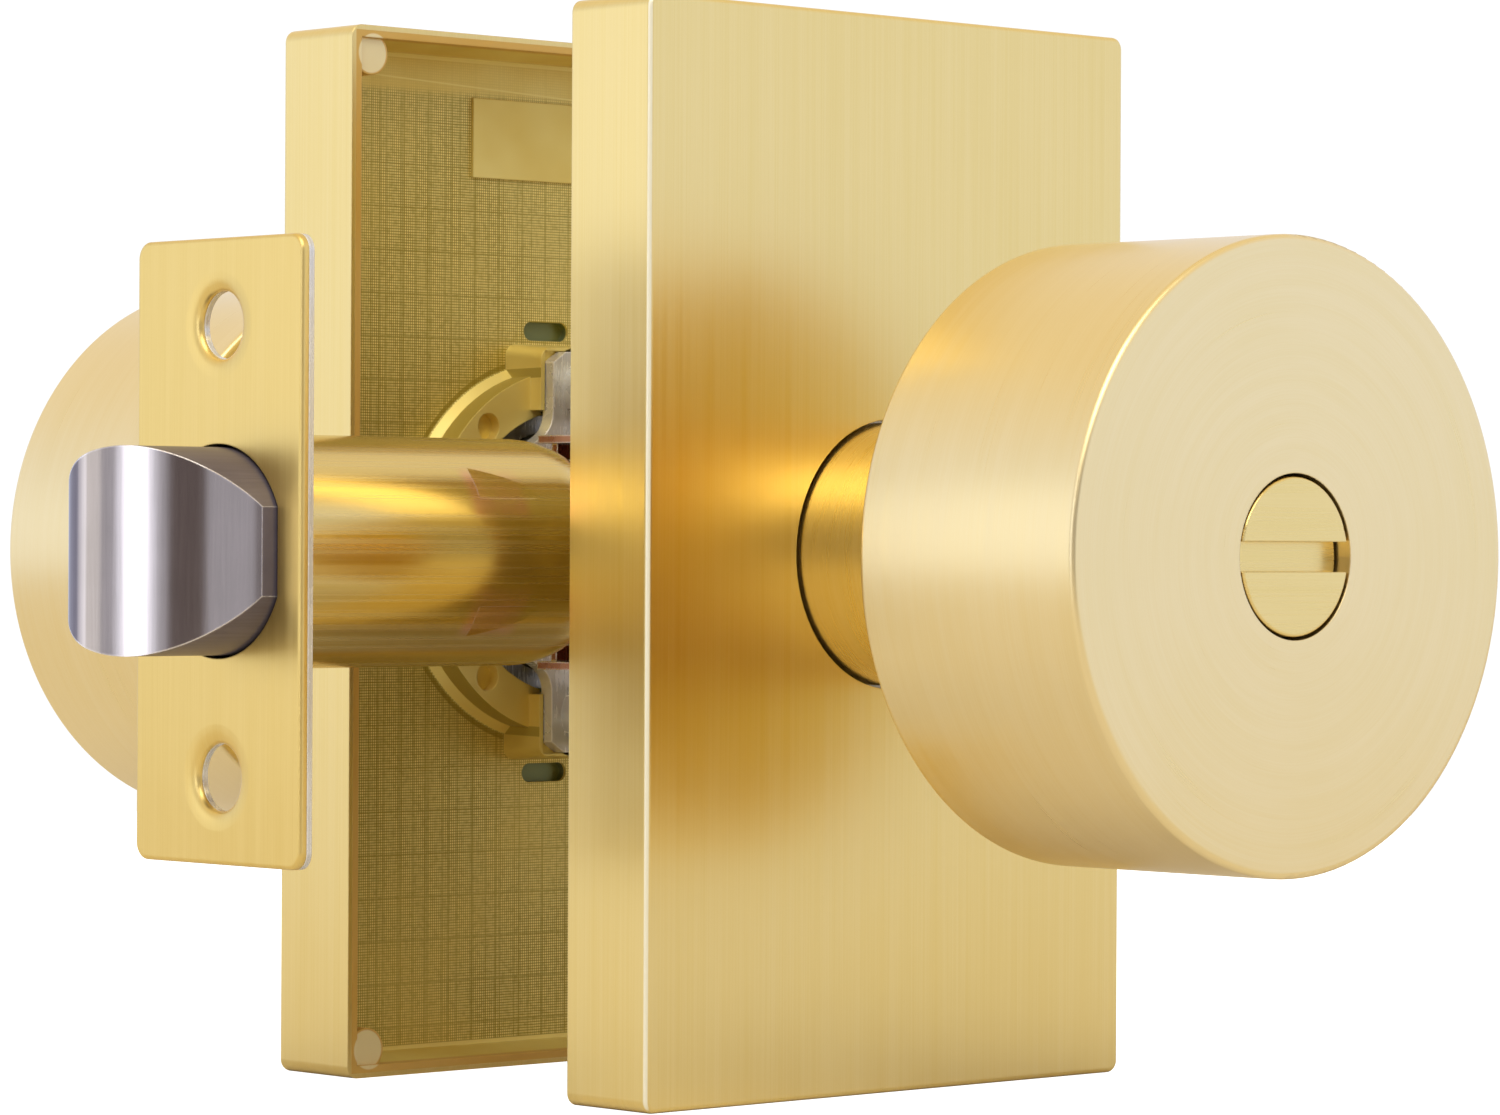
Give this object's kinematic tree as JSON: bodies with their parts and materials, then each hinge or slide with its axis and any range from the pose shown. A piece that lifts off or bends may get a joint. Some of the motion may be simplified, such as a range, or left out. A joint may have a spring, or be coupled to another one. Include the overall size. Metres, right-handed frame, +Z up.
{
  "type": "door knob set",
  "caption": "Round flat-faced privacy door knob set on tall square-edged roses, with turn button and sprung tubular latch.",
  "frame": {"origin": "where the knobs' turning axis crosses the latch's axis, in the middle of the door's thickness", "axes": "-X along the latch towards the door's edge; -Y towards the interior knob with the turn button, +Y towards the exterior knob; +Z up"},
  "size_m": [0.1037, 0.155, 0.1024],
  "materials": {
    "satin_brass": "satin brushed",
    "polished_brass": "polished",
    "copper_plate": "semi-gloss copper plated",
    "polished_nickel": "polished",
    "zinc_steel": "zinc plated",
    "spring_steel": "dark oiled"
  },
  "bodies": {
    "door_set": {"exterior_rose": "satin_brass", "interior_rose": "satin_brass", "exterior_mounting_plate": "zinc_steel", "interior_mounting_plate": "zinc_steel", "threaded_posts": "zinc_steel", "through_bolts": "zinc_steel", "exterior_return_spring": "spring_steel", "interior_return_spring": "spring_steel", "faceplate": "satin_brass", "backing_plate": "zinc_steel", "latch_tube": "polished_brass", "latch_case": "copper_plate", "spring_seat": "zinc_steel", "latch_spring": "spring_steel"},
    "interior_knob": {"interior_knob_shell": "satin_brass", "interior_knob_back": "satin_brass", "interior_neck": "satin_brass", "neck_grub_screw": "spring_steel", "interior_thrust_washer": "zinc_steel", "interior_circlip": "spring_steel"},
    "turn_button": {"turn_button": "satin_brass", "button_clip": "spring_steel", "lock_bar": "zinc_steel"},
    "lock_slider": {"lock_slider": "zinc_steel"},
    "exterior_knob": {"exterior_knob_shell": "satin_brass", "exterior_knob_back": "satin_brass", "exterior_neck": "satin_brass", "exterior_thrust_washer": "zinc_steel", "exterior_circlip": "spring_steel", "spindle": "zinc_steel"},
    "release_plug": {"release_plug": "satin_brass"},
    "latch_hub": {"latch_hub": "zinc_steel"},
    "latch_bolt": {"latch_bolt": "polished_nickel", "latch_tail": "zinc_steel", "retractor_fork": "copper_plate"}
  },
  "joints": [
    {"name": "interior_knob_turn", "type": "hinge", "parent": "door_set", "child": "interior_knob", "pos_m": [0, 0, 0], "axis": [0, 1, 0], "range_deg": [0, 81.9], "stiffness_Nm_per_rad": 0.12, "springref_deg": -40.11, "deforming": ["interior_return_spring"]},
    {"name": "exterior_knob_turn", "type": "hinge", "parent": "door_set", "child": "exterior_knob", "pos_m": [0, 0, 0], "axis": [0, 1, 0], "range_deg": [0, 81.9], "stiffness_Nm_per_rad": 0.12, "springref_deg": -40.11, "deforming": ["exterior_return_spring"]},
    {"name": "turn_button_turn", "type": "hinge", "parent": "interior_knob", "child": "turn_button", "pos_m": [0, 0, 0], "axis": [0, 1, 0], "range_deg": [0, 90]},
    {"name": "lock_slider_slide", "type": "slide", "parent": "interior_knob", "child": "lock_slider", "axis": [0, 0, 1], "range_m": [0, 0.0015]},
    {"name": "release_plug_turn", "type": "hinge", "parent": "exterior_knob", "child": "release_plug", "pos_m": [0, 0, 0], "axis": [0, 1, 0], "range_deg": [0, 90]},
    {"name": "latch_hub_turn", "type": "hinge", "parent": "door_set", "child": "latch_hub", "pos_m": [0, 0, 0], "axis": [0, 1, 0], "range_deg": [0, 81.9]},
    {"name": "bolt_slide", "type": "slide", "parent": "door_set", "child": "latch_bolt", "axis": [1, 0, 0], "range_m": [0, 0.0118], "stiffness_N_per_m": 40, "springref_m": -0.02, "deforming": ["latch_spring"]}
  ],
  "couplings": [
    {"joint": "exterior_knob_turn", "follows": "interior_knob_turn", "ratio": 1},
    {"joint": "latch_hub_turn", "follows": "interior_knob_turn", "ratio": 1},
    {"joint": "bolt_slide", "follows": "interior_knob_turn", "m_per_rad": 0.0082527},
    {"joint": "lock_slider_slide", "follows": "turn_button_turn", "m_per_rad": 0.00095493},
    {"joint": "release_plug_turn", "follows": "turn_button_turn", "ratio": 1}
  ]
}
